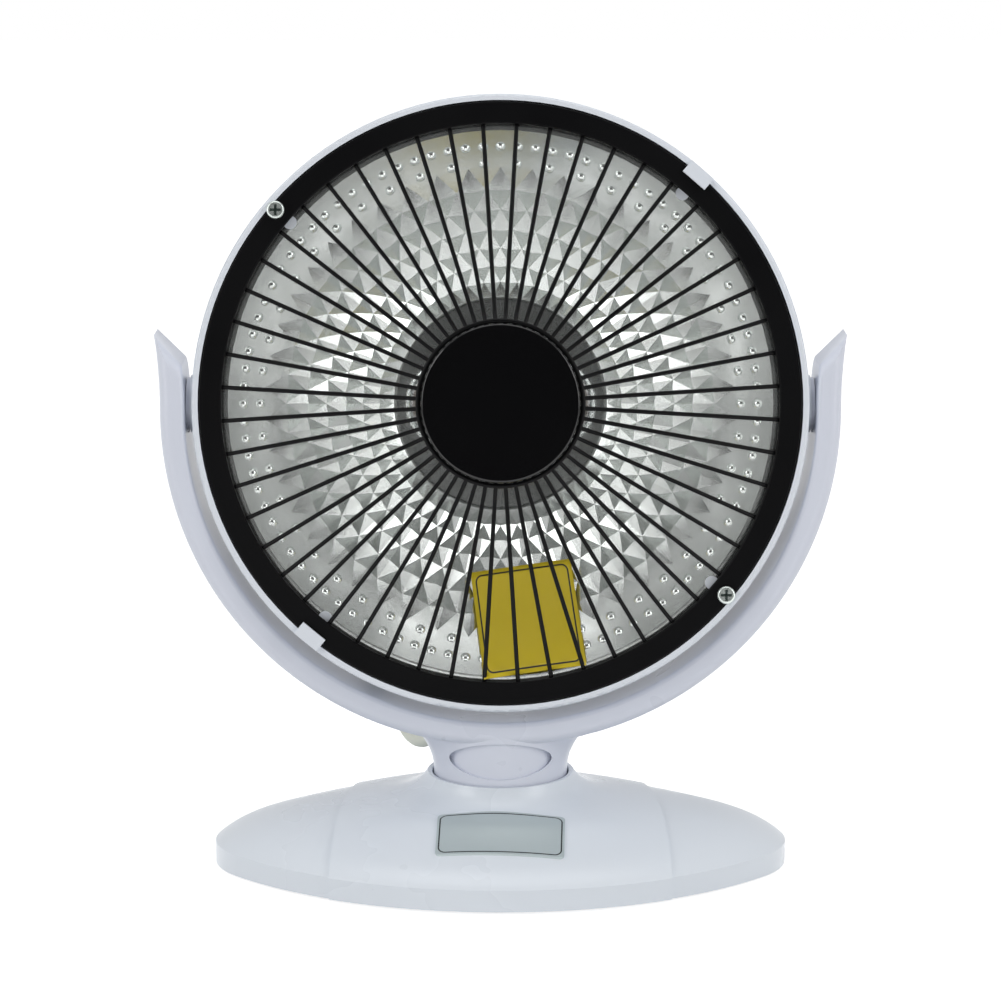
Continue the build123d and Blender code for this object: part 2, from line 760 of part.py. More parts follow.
with BuildPart() as switch_rocker:
    with BuildSketch(Plane(origin=rocker_centre, x_dir=rocker_along, z_dir=(1, 0, 0))):
        with BuildLine():
            Polyline((-rocker_half, rocker_tail), (-rocker_half, rocker_edge), (0, rocker_edge - rocker_dish),
                     (rocker_half, rocker_edge), (rocker_half, rocker_tail), close=True)
        make_face()
        Circle(rocker_pin_radius + running_gap, mode=Mode.SUBTRACT)
    extrude(amount=switch_width / 2 - switch_wall - rocker_gap, both=True)
finish(switch_rocker, "switch_rocker")

# Yoke: a crescent strap, wide at the foot and narrow at the tips, on a waisted neck with a spigot
with BuildPart() as strap:
    with BuildSketch(Plane.XZ.offset(-yoke_foot_half_width - overrun)):
        with BuildLine():
            CenterArc((0, pivot_height), yoke_outer_radius, 180, 180)
            CenterArc((0, pivot_height), yoke_inner_radius, 180, 180)
            for side in (-1, 1):
                outer_tip = (side * (yoke_outer_radius + yoke_tip_flare), tip_outer_height)
                inner_tip = (side * (yoke_inner_radius + yoke_tip_flare / 2), tip_inner_height)
                TangentArc((side * yoke_outer_radius, pivot_height), outer_tip, tangent=(0, 1))
                TangentArc((side * yoke_inner_radius, pivot_height), inner_tip, tangent=(0, 1))
                Line(outer_tip, inner_tip)
        make_face()
    extrude(amount=2 * (yoke_foot_half_width + overrun))
    with BuildSketch(Plane.YZ.offset(-yoke_reach)):
        with BuildLine():
            for side in (-1, 1):
                Polyline((0, collar_floor), (side * yoke_foot_half_width, collar_floor),
                         (side * yoke_foot_half_width, yoke_foot_height))
                TangentArc((side * yoke_foot_half_width, yoke_foot_height),
                           (side * yoke_tip_half_width, yoke_top), tangent=(0, 1))
                Line((side * yoke_tip_half_width, yoke_top), (0, yoke_top))
        make_face()
    extrude(amount=2 * yoke_reach, mode=Mode.INTERSECT)
    long_edges = strap.edges().filter_by(lambda edge: abs((edge @ 0.5).Y) > yoke_tip_half_width / 2)
    fillet(long_edges.filter_by(lambda edge: from_pivot(edge @ 0.5) > yoke_middle_radius + yoke_outer_round / 2),
           yoke_outer_round)
    long_edges = strap.edges().filter_by(lambda edge: abs((edge @ 0.5).Y) > yoke_tip_half_width / 2)
    fillet(long_edges.filter_by(lambda edge: from_pivot(edge @ 0.5) < yoke_inner_radius + yoke_inner_round),
           yoke_inner_round)

with BuildPart() as neck:
    with BuildSketch(Plane.XY.offset(neck_bottom)):
        Circle(neck_radius)
    extrude(amount=neck_fillet_level - neck_bottom)
    with BuildSketch(Plane.XY.offset(neck_fillet_level)):
        Ellipse(neck_radius, neck_radius)
    for share in neck_fillet_shares:
        turn = radians(share * neck_fillet_turn)
        with BuildSketch(Plane.XY.offset(neck_fillet_level + neck_fillet * sin(turn))):
            Ellipse(neck_radius + neck_fillet * (1 - cos(turn)), neck_radius)
    loft()

with BuildPart() as pad_cutter:
    with BuildSketch(Plane.XZ):
        with Locations((0, pad_height)):
            Ellipse(pad_half_width, pad_half_height)
    extrude(amount=yoke_foot_half_width + overrun)
    with BuildSketch(Plane.XY.offset(neck_bottom)):
        Circle(neck_radius - pad_depth)
    extrude(amount=neck_roof_height, mode=Mode.SUBTRACT)

with BuildPart() as yoke_whole:
    add(strap.part)
    add(neck.part)
    add(pad_cutter.part, mode=Mode.SUBTRACT)
    with BuildSketch(Plane.XY.offset(neck_bottom)):
        Circle(spigot_radius)
    extrude(amount=-spigot_length)
    with BuildSketch(Plane.XZ.offset(-yoke_channel_half_width)):
        with Locations((0, pivot_height)):
            Circle(yoke_outer_radius - yoke_wall)
            Circle(yoke_inner_radius + yoke_wall, mode=Mode.SUBTRACT)
        with Locations((0, pivot_height + yoke_outer_radius / 2)):
            Rectangle(2 * yoke_outer_radius, yoke_outer_radius, mode=Mode.SUBTRACT)
        for side in (-1, 1):
            with Locations((side * yoke_middle_radius, pivot_height + yoke_channel_rise / 2)):
                Rectangle(yoke_channel_width, yoke_channel_rise)
        for angle in yoke_screw_angles:
            with Locations(on_yoke(angle)):
                Circle(yoke_screw_boss_radius, mode=Mode.SUBTRACT)
    extrude(amount=2 * yoke_channel_half_width, mode=Mode.SUBTRACT)
    with BuildSketch(Plane.XY.offset(neck_bottom + neck_floor_thickness)):
        Circle(neck_bore)
    extrude(amount=neck_roof_height - neck_bottom - neck_floor_thickness, mode=Mode.SUBTRACT)
    with BuildSketch(Plane.XY.offset(neck_bottom - spigot_length)):
        Circle(spigot_bore)
    extrude(amount=spigot_length + neck_floor_thickness + overrun, mode=Mode.SUBTRACT)
    with BuildSketch(Plane.XZ.offset(-yoke_screw_seat)):
        for angle in yoke_screw_angles:
            with Locations(on_yoke(angle)):
                Circle(yoke_screw_shank / 2 + thread_gap)
    extrude(amount=yoke_screw_length, mode=Mode.SUBTRACT)
    with BuildSketch(Plane.XZ.offset(-yoke_screw_seat)):
        for angle in yoke_screw_angles:
            with Locations(on_yoke(angle)):
                Circle(yoke_screw_head / 2 + guard_gap)
    extrude(amount=-yoke_foot_half_width, mode=Mode.SUBTRACT)
    with BuildSketch(Plane.YZ.offset(-yoke_reach + yoke_wall)):
        with Locations((0, pivot_height)):
            Circle(pivot_radius + running_gap)
    extrude(amount=2 * yoke_reach - 2 * yoke_wall, mode=Mode.SUBTRACT)
    with BuildSketch(Plane.YZ.offset(-yoke_inner_radius)):
        with Locations((0, pivot_height)):
            Circle(pivot_boss_radius)
    extrude(amount=2 * yoke_inner_radius, mode=Mode.SUBTRACT)
    with BuildSketch(lead_exit_plane):
        Circle(grommet_radius + thread_gap)
    extrude(amount=-neck_radius + neck_bore - overrun / 2, mode=Mode.SUBTRACT)
    with BuildSketch(lead_exit_plane):
        Circle(grommet_radius + thread_gap)
    extrude(amount=overrun, mode=Mode.SUBTRACT)
    with BuildSketch(lead_exit_plane.offset(grommet_stand)):
        Circle(grommet_radius + grommet_flange + running_gap)
    extrude(amount=overrun, mode=Mode.SUBTRACT)

with BuildPart() as yoke_front:
    add(yoke_whole.part)
    split(bisect_by=Plane.XZ.offset(yoke_seam_gap), keep=Keep.TOP)
finish(yoke_front, "yoke_front")

with BuildPart() as yoke_rear:
    add(yoke_whole.part)
    split(bisect_by=Plane.XZ, keep=Keep.BOTTOM)
finish(yoke_rear, "yoke_rear")

yoke_screws = screw_solids(
    Plane(origin=(0, yoke_screw_seat, 0), x_dir=(-1, 0, 0), z_dir=(0, 1, 0)),
    [(-on_yoke(angle)[0], on_yoke(angle)[1]) for angle in yoke_screw_angles],
    yoke_screw_head, yoke_screw_head_height, yoke_screw_shank, yoke_screw_length, screw_slot_depth)
finish(yoke_screws, "yoke_screws")

# Pivot pins, one each side, trapped in the yoke and turning in the head's bosses
with BuildPart() as pivot_pins:
    for side in (-1, 1):
        with BuildSketch(Plane(origin=(side * pin_flange_face, 0, pivot_height), z_dir=(side, 0, 0))):
            Circle(pivot_flange_radius)
        extrude(amount=pivot_flange_thickness)
        with BuildSketch(Plane(origin=(side * pin_flange_face, 0, pivot_height), z_dir=(side, 0, 0))):
            Circle(pivot_radius)
        extrude(amount=boss_face - pivot_boss_depth - pin_flange_face)
finish(pivot_pins, "pivot_pins")

with BuildPart() as friction_washers:
    for side in (-1, 1):
        with BuildSketch(Plane(origin=(side * (boss_face + washer_gap), 0, pivot_height), z_dir=(side, 0, 0))):
            Circle(pivot_boss_radius - edge_round)
            Circle(pivot_radius + running_gap, mode=Mode.SUBTRACT)
        extrude(amount=washer_thickness)
finish(friction_washers, "friction_washers")


def base_outline(half_length, half_depth, tip):
    """Leaf-shaped plan of the base: two long arcs and two tip arcs, all tangent."""
    side = ((half_length - tip)**2 + half_depth**2 - tip**2) / (2 * (half_depth - tip))
    lean = (half_length - tip) / (side - tip)
    end_x = half_length - tip + tip * lean
    end_y = tip * sqrt(1 - lean**2)
    with BuildSketch() as plan:
        with BuildLine():
            ThreePointArc((-end_x, -end_y), (0, -half_depth), (end_x, -end_y))
            ThreePointArc((end_x, -end_y), (half_length, 0), (end_x, end_y))
            ThreePointArc((end_x, end_y), (0, half_depth), (-end_x, end_y))
            ThreePointArc((-end_x, end_y), (-half_length, 0), (-end_x, -end_y))
        make_face()
    return plan.sketch


def base_solid(shift, bottom):
    """The base's filled form, with every outline and height moved outwards by shift."""
    with BuildPart() as form:
        with BuildSketch(Plane.XY.offset(bottom)):
            add(base_outline(base_half_length + shift, base_half_depth + shift, base_tip_radius + shift))
        extrude(amount=base_side_height - bottom)
        with BuildSketch(Plane.XY.offset(base_side_height)):
            add(base_outline(base_half_length + shift, base_half_depth + shift, base_tip_radius + shift))
        for height, length, depth, tip in zip(dome_heights, dome_length_shares, dome_depth_shares, dome_tip_shares):
            with BuildSketch(Plane.XY.offset(height + shift)):
                add(base_outline(base_half_length * length + shift, base_half_depth * depth + shift,
                                 base_tip_radius * tip + shift))
        with BuildSketch(Plane.XY.offset(collar_height + shift)):
            with BuildLine():
                for turn in (0, 180):
                    CenterArc((0, 0), collar_radius + shift, turn - collar_split, 2 * collar_split)
                    CenterArc((0, 0), collar_radius + shift, turn + collar_split, 180 - 2 * collar_split)
            make_face()
        loft()
    return form.part


# Base top: domed shell with a proud middle, the collar round the neck and bosses inside
with BuildPart() as saddle:
    add(base_solid(saddle_step, base_lift))
    with BuildSketch(Plane.XY):
        with BuildLine():
            for side in (-1, 1):
                ThreePointArc((side * saddle_front_half_width, -base_half_depth - overrun),
                              (side * saddle_middle_half_width, 0),
                              (side * saddle_back_half_width, base_half_depth + overrun))
            for end, half_width in ((-1, saddle_front_half_width), (1, saddle_back_half_width)):
                Line((-half_width, end * (base_half_depth + overrun)), (half_width, end * (base_half_depth + overrun)))
        make_face()
    extrude(amount=collar_height + overrun, mode=Mode.INTERSECT)
    with BuildSketch(Plane.XY.offset(collar_height)):
        Rectangle(2 * base_half_length, 2 * base_half_length)
    extrude(amount=overrun, mode=Mode.SUBTRACT)

with BuildPart() as base_bosses:
    add(base_solid(-base_wall / 2, base_lift))
    with BuildSketch(Plane.XY.offset(bottom_top + thread_gap)):
        with GridLocations(2 * base_screw_x, 2 * base_screw_y, 2, 2):
            Circle(base_boss_radius)
    extrude(amount=collar_floor, mode=Mode.INTERSECT)

with BuildPart() as base_top:
    add(base_solid(0, base_lift))
    add(saddle.part)
    add(base_solid(-base_wall, base_lift - overrun), mode=Mode.SUBTRACT)
    with BuildSketch(Plane.XY.offset(collar_floor - collar_floor_thickness)):
        Circle(collar_radius)
    extrude(amount=collar_height - collar_floor)
    with BuildSketch(Plane.XY.offset(collar_floor)):
        Circle(neck_radius + collar_gap)
    extrude(amount=collar_height, mode=Mode.SUBTRACT)
    with BuildSketch(Plane.XY.offset(collar_floor)):
        Circle(spigot_radius + running_gap)
    extrude(amount=-collar_height, mode=Mode.SUBTRACT)
    fillet(base_top.edges().filter_by(GeomType.CIRCLE).group_by(Axis.Z)[-1].sort_by(SortBy.RADIUS)[0], collar_round)
    add(base_bosses.part)
    with BuildSketch(Plane.XY.offset(bottom_top)):
        with GridLocations(2 * base_screw_x, 2 * base_screw_y, 2, 2):
            Circle(base_screw_shank / 2 + thread_gap)
    extrude(amount=base_screw_length - bottom_thickness + base_screw_head_height, mode=Mode.SUBTRACT)
    with BuildSketch(Plane.XZ.offset(-base_half_depth - overrun)):
        with Locations((0, inlet_z)):
            SlotOverall(inlet_width + 2 * inlet_wall + 2 * thread_gap, inlet_height + 2 * inlet_wall + 2 * thread_gap)
    extrude(amount=2 * overrun, mode=Mode.SUBTRACT)
finish(base_top, "base_top")

bottom_screws_plane = Plane(origin=(0, 0, bottom_lift + base_screw_head_height), x_dir=(1, 0, 0), z_dir=(0, 0, -1))
base_screw_places = [(x, y) for x in (-base_screw_x, base_screw_x) for y in (-base_screw_y, base_screw_y)]

with BuildPart() as base_bottom:
    with BuildSketch(Plane.XY.offset(bottom_lift)):
        add(base_outline(base_half_length - base_wall - bottom_gap, base_half_depth - base_wall - bottom_gap,
                         base_tip_radius - base_wall - bottom_gap))
    extrude(amount=bottom_thickness)
    with BuildSketch(Plane.XY.offset(bottom_lift)):
        with GridLocations(2 * base_screw_x, 2 * base_screw_y, 2, 2):
            Circle(base_screw_shank / 2 + thread_gap)
        with Locations((tip_x, 0)):
            Circle(plunger_radius + running_gap)
    extrude(amount=bottom_thickness, mode=Mode.SUBTRACT)
    with BuildSketch(Plane.XY.offset(bottom_lift)):
        with GridLocations(2 * base_screw_x, 2 * base_screw_y, 2, 2):
            Circle(base_screw_head / 2 + guard_gap)
    extrude(amount=base_screw_head_height, mode=Mode.SUBTRACT)
    with BuildSketch(Plane.XY.offset(bottom_lift)):
        with GridLocations(2 * foot_x, 2 * foot_y, 2, 2):
            Circle(foot_radius + thread_gap)
    extrude(amount=foot_sink, mode=Mode.SUBTRACT)
    with BuildSketch(Plane.XY.offset(bottom_lift + ballast_screw_tip)):
        with Locations((-ballast_screw_x, 0), (ballast_screw_x, 0)):
            Circle(base_screw_shank / 2 + thread_gap)
    extrude(amount=bottom_thickness, mode=Mode.SUBTRACT)
    with BuildSketch(Plane.XY.offset(bottom_lift)):
        with Locations((0, base_half_depth)):
            Rectangle(inlet_width + 2 * inlet_wall + 2 * guard_gap, 2 * inlet_length)
    extrude(amount=bottom_thickness, mode=Mode.SUBTRACT)
finish(base_bottom, "base_bottom")

with BuildPart() as rubber_feet:
    with BuildSketch(Plane.XY):
        with GridLocations(2 * foot_x, 2 * foot_y, 2, 2):
            Circle(foot_radius)
    extrude(amount=bottom_lift + foot_sink)
    fillet(rubber_feet.edges().group_by(Axis.Z)[0], foot_sink)
finish(rubber_feet, "rubber_feet")

base_screws = screw_solids(bottom_screws_plane, base_screw_places, base_screw_head, base_screw_head_height,
                           base_screw_shank, base_screw_length, screw_slot_depth)
finish(base_screws, "base_screws")

with BuildPart() as ballast_plate:
    with BuildSketch(Plane.XY.offset(bottom_top)):
        RectangleRounded(ballast_length, ballast_depth, ballast_corner)
        with Locations((-ballast_screw_x, 0), (ballast_screw_x, 0)):
            Circle(base_screw_shank / 2 + thread_gap, mode=Mode.SUBTRACT)
    extrude(amount=ballast_thickness)
finish(ballast_plate, "ballast_plate")

ballast_screws = screw_solids(
    Plane.XY.offset(bottom_top + ballast_thickness), [(-ballast_screw_x, 0), (ballast_screw_x, 0)],
    base_screw_head, base_screw_head_height, base_screw_shank,
    ballast_thickness + bottom_thickness - ballast_screw_tip, screw_slot_depth)
finish(ballast_screws, "ballast_screws")

# Swivel: a slip washer above the collar floor, a nut on the spigot below it
with BuildPart() as swivel_washer:
    with BuildSketch(Plane.XY.offset(collar_floor + washer_gap)):
        Circle(swivel_washer_radius)
        Circle(spigot_radius + running_gap, mode=Mode.SUBTRACT)
    extrude(amount=swivel_washer_thickness)
finish(swivel_washer, "swivel_washer")

with BuildPart() as swivel_nut:
    with BuildSketch(Plane.XY.offset(collar_floor - collar_floor_thickness - washer_gap)):
        RegularPolygon(swivel_nut_across / 2, 6, major_radius=False)
        Circle(spigot_radius + thread_gap, mode=Mode.SUBTRACT)
    extrude(amount=-swivel_nut_thickness)
finish(swivel_nut, "swivel_nut")

# Tip-over switch: a spring plunger that the table holds in
with BuildPart() as tip_switch:
    with BuildSketch(Plane.XY.offset(bottom_top)):
        with Locations((tip_x, 0)):
            Rectangle(tip_body_width, tip_body_depth)
    extrude(amount=tip_body_height)
    fillet(tip_switch.edges().filter_by(Axis.Z), edge_round)
    with BuildSketch(Plane.XY.offset(bottom_top)):
        with Locations((tip_x, 0)):
            Circle(plunger_flange_radius + guard_gap)
    extrude(amount=tip_body_height - tip_roof, mode=Mode.SUBTRACT)
finish(tip_switch, "tip_switch")

with BuildPart() as tip_plunger:
    with BuildSketch(Plane.XY.offset(plunger_clear)):
        with Locations((tip_x, 0)):
            Circle(plunger_radius)
    extrude(amount=bottom_top + plunger_travel - plunger_clear + thread_gap)
    with BuildSketch(Plane.XY.offset(bottom_top + plunger_travel + thread_gap)):
        with Locations((tip_x, 0)):
            Circle(plunger_flange_radius)
    extrude(amount=plunger_flange_thickness)
    fillet(tip_plunger.edges().group_by(Axis.Z)[0], edge_round)
finish(tip_plunger, "tip_plunger")

with BuildPart() as inlet_bush:
    with BuildSketch(Plane.XZ.offset(-base_half_depth - foot_sink)):
        with Locations((0, inlet_z)):
            SlotOverall(inlet_width + 2 * inlet_wall, inlet_height + 2 * inlet_wall)
            SlotOverall(inlet_width, inlet_height, mode=Mode.SUBTRACT)
    extrude(amount=inlet_length)
finish(inlet_bush, "inlet_bush")

clamp_middle = (0, base_half_depth - cable_clamp_back - cable_clamp_depth / 2)
clamp_screw_x = (cable_clamp_width + inlet_width) / 4

with BuildPart() as cable_clamp:
    with BuildSketch(Plane.XY.offset(bottom_top)):
        with Locations(clamp_middle):
            Rectangle(cable_clamp_width, cable_clamp_depth)
            with Locations((-clamp_screw_x, 0), (clamp_screw_x, 0)):
                Circle(base_screw_shank / 2 + thread_gap, mode=Mode.SUBTRACT)
    extrude(amount=cable_clamp_thickness + inlet_height)
    with BuildSketch(Plane.XY.offset(bottom_top)):
        with Locations(clamp_middle):
            Rectangle(inlet_width, cable_clamp_depth)
    extrude(amount=inlet_height, mode=Mode.SUBTRACT)
finish(cable_clamp, "cable_clamp")

# Rating plate: a thin skin that follows the front slope
with BuildPart() as rating_plate:
    add(base_solid(saddle_step + plate_thickness, base_lift))
    with BuildSketch(Plane.XY.offset(base_side_height)):
        with Locations(Location((0, -plate_front + plate_height / 2, 0), (0, 0, plate_turn))):
            RectangleRounded(plate_width, plate_height, plate_corner)
    extrude(amount=collar_height, mode=Mode.INTERSECT)
    add(base_solid(saddle_step, base_lift), mode=Mode.SUBTRACT)
finish(rating_plate, "rating_plate")

# Lead from the neck up to the hood on the head's cover
lead_route = [
    head_point(hood_x, hood_low + lead_tail, lead_level),
    head_point(hood_x, hood_low - lead_drop, lead_level),
    *[Vector(*point) for point in lead_middle_points],
    lead_exit_plane.origin + lead_exit_plane.z_dir * lead_straight,
    lead_exit_plane.origin - lead_exit_plane.z_dir * lead_tail,
]
lead_radii = []
for before, corner, after in zip(lead_route, lead_route[1:], lead_route[2:]):
    run_in = corner - before
    run_out = after - corner
    half_turn = radians(run_in.get_angle(run_out)) / 2
    lead_radii.append(bend_share * min(run_in.length, run_out.length) / tan(half_turn))

with BuildPart() as head_lead:
    with BuildLine() as lead_path:
        FilletPolyline(*lead_route, radius=lead_radii)
    with BuildSketch(Plane(origin=lead_path.line @ 0, z_dir=lead_path.line % 0)):
        Circle(lead_diameter / 2)
    sweep(path=lead_path.line)
finish(head_lead, "head_lead")
print("lead bend radii", [round(radius, 1) for radius in lead_radii])
print("lead runs", [round((after - before).length, 1) for before, after in zip(lead_route, lead_route[1:])])
lead_length = sum(edge.length for edge in lead_path.line.edges())
print("lead length", round(lead_length, 1), "lowest", round(head_lead.part.bounding_box().min.Z, 1),
      "volume share", round(head_lead.part.volume / (lead_length * pi * lead_diameter**2 / 4), 4))


def grommet(plane, wall, stand):
    """A flanged sleeve round the lead, through a wall behind a plane."""
    with BuildPart() as sleeve:
        with BuildSketch(plane.offset(-wall)):
            Circle(grommet_radius)
            Circle(lead_diameter / 2 + thread_gap, mode=Mode.SUBTRACT)
        extrude(amount=wall + stand)
        with BuildSketch(plane.offset(stand)):
            Circle(grommet_radius + grommet_flange)
            Circle(lead_diameter / 2 + thread_gap, mode=Mode.SUBTRACT)
        extrude(amount=grommet_flange_thickness)
    return sleeve


finish(grommet(lead_exit_plane, neck_radius - neck_bore, grommet_stand), "neck_grommet")
finish(grommet(hood_exit_plane, hood_wall, thread_gap), "hood_grommet")
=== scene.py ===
"""Dressed model of the desk-top radiant dish heater: finishes, faceted dish, label frames, lead, studio."""
from math import cos, pi, radians, sin, sqrt

import bmesh
import bpy
from mathutils import Matrix, Vector


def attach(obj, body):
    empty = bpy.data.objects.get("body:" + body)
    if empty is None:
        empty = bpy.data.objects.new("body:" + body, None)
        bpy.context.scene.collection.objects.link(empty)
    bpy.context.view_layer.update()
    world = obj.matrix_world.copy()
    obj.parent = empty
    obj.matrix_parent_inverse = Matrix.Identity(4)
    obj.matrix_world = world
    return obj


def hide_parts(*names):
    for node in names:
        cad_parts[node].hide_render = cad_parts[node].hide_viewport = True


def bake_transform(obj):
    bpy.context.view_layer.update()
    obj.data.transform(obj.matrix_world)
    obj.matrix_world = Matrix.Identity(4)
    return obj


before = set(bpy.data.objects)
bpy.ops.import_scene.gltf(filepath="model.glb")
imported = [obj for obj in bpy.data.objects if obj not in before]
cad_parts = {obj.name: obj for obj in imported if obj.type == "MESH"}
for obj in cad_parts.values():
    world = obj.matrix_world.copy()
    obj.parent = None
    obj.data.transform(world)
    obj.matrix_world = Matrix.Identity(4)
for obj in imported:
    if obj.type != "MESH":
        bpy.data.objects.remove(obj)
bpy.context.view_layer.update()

# Sizes shared with the solids, in metres
rest_tilt = radians(9.5)
pivot_height = 0.148
dish_flat_radius = 0.0335
dish_flat_level = -0.028
dish_mouth_radius = 0.084
dish_mouth_level = 0.0118
dish_flange_radius = 0.0924

# Dressed dish: flatter and of thinner sheet than the solid one
dish_bow = 0.0025
sheet_thickness = 0.0006
weld_distance = 0.00003
same_radius = 0.0001

# Pressed pattern of the dish
diamonds = 46
diamond_rings = (0.0342, 0.0388, 0.0438, 0.0492, 0.0549, 0.0609, 0.0670, 0.0734)
diamond_rise = 0.0011
diamond_sink = 0.0004
inner_dimple_radius = 0.0744
outer_dimple_radius = 0.0793
dimple_size = 0.0016
dimple_rise = 0.0012
slope_step = 0.001
rim_notch_radius = 0.0021
rim_notch_circle = 0.0854
rim_notch_height = 0.0008
station_angles = (49.1, 139.3, 230.7, 319.7)

# Cross slots of the guard screws, whose floors carry painted shade
guard_screw_angles = (139.3, 319.7)
guard_screw_circle = 0.0909
screw_floor_level = 0.01655
screw_slot_length = 0.00335
screw_slot_width = 0.00078
screw_floor_thickness = 0.0003

# Plain sticker in the dish, across and up the dish, over the diamonds
sticker_centre = (0.0085, -0.0668)
sticker_size = (0.0318, 0.0318)
sticker_turn = radians(8)
sticker_rise = 0.0019
sticker_steps = 14
film_thickness = 0.00025

# Lead between the neck and the hood, in the object's frame and, for the hood, in the head's
lead_diameter = 0.0054
neck_radius = 0.0211
lead_exit_angle = radians(128)
lead_exit_height = 0.0358
lead_straight = 0.010
lead_tail = 0.004
hood_x = -0.012
lead_level = -0.0499
hood_lead_ends = (-0.030, -0.047)
lead_middle_points = [(-0.024, 0.0435, 0.078), (-0.034, 0.045, 0.066), (-0.0365, 0.045, 0.050),
                      (-0.0295, 0.037, 0.029)]

# Places and powers of the studio
floor_half_size = 4
lamp_target = (0, 0, 0.13)
side_lamp_power = 7.5
top_lamp_power = 5
camera_place = (0, -1.1047, 0.332)
camera_direction = (0, 0.98163, -0.19081)

head_frame = Matrix.Translation((0, 0, pivot_height)) @ Matrix.Rotation(radians(90) - rest_tilt, 4, "X")


def head_point(x, y, forward):
    """A point given across, up and forward along the tilted head, in the object's frame."""
    return head_frame @ Vector((x, y, forward))


# Shader groups

def new_group(name, inputs, outputs):
    """An empty shader node group with named float, colour or vector sockets."""
    group = bpy.data.node_groups.new(name, "ShaderNodeTree")
    for direction, sockets in (("INPUT", inputs), ("OUTPUT", outputs)):
        for label, kind, value in sockets:
            socket = group.interface.new_socket(name=label, in_out=direction, socket_type=kind)
            if value is not None:
                socket.default_value = value
    return group, group.nodes.new("NodeGroupInput"), group.nodes.new("NodeGroupOutput")


def make_surface_tone():
    """Slow drift of colour and roughness over a surface, with a fine grain that raises it."""
    group, entry, exit_node = new_group(
        "surface_tone",
        [("Color", "NodeSocketColor", (0.8, 0.8, 0.8, 1)), ("Drift", "NodeSocketFloat", 0.04),
         ("Drift Scale", "NodeSocketFloat", 20), ("Rough Low", "NodeSocketFloat", 0.3),
         ("Rough High", "NodeSocketFloat", 0.4), ("Grain Scale", "NodeSocketFloat", 1500),
         ("Grain Depth", "NodeSocketFloat", 0.00002)],
        [("Color", "NodeSocketColor", None), ("Roughness", "NodeSocketFloat", None),
         ("Normal", "NodeSocketVector", None)])
    nodes, links = group.nodes, group.links
    place = nodes.new("ShaderNodeTexCoord")
    drift = nodes.new("ShaderNodeTexNoise")
    drift.inputs["Detail"].default_value = 3
    grain = nodes.new("ShaderNodeTexNoise")
    grain.inputs["Detail"].default_value = 2
    for noise, scale in ((drift, "Drift Scale"), (grain, "Grain Scale")):
        links.new(place.outputs["Object"], noise.inputs["Vector"])
        links.new(entry.outputs[scale], noise.inputs["Scale"])
    darker = nodes.new("ShaderNodeMath")
    darker.operation = "MULTIPLY"
    links.new(drift.outputs["Fac"], darker.inputs[0])
    links.new(entry.outputs["Drift"], darker.inputs[1])
    keep = nodes.new("ShaderNodeMath")
    keep.operation = "SUBTRACT"
    keep.inputs[0].default_value = 1
    links.new(darker.outputs["Value"], keep.inputs[1])
    tone = nodes.new("ShaderNodeVectorMath")
    tone.operation = "SCALE"
    links.new(entry.outputs["Color"], tone.inputs[0])
    links.new(keep.outputs["Value"], tone.inputs["Scale"])
    links.new(tone.outputs["Vector"], exit_node.inputs["Color"])
    rough = nodes.new("ShaderNodeMapRange")
    links.new(drift.outputs["Fac"], rough.inputs["Value"])
    rough.inputs["From Min"].default_value = 0.3
    rough.inputs["From Max"].default_value = 0.7
    links.new(entry.outputs["Rough Low"], rough.inputs["To Min"])
    links.new(entry.outputs["Rough High"], rough.inputs["To Max"])
    links.new(rough.outputs["Result"], exit_node.inputs["Roughness"])
    raised = nodes.new("ShaderNodeBump")
    raised.inputs["Strength"].default_value = 1
    links.new(entry.outputs["Grain Depth"], raised.inputs["Distance"])
    links.new(grain.outputs["Fac"], raised.inputs["Height"])
    links.new(raised.outputs["Normal"], exit_node.inputs["Normal"])
    return group


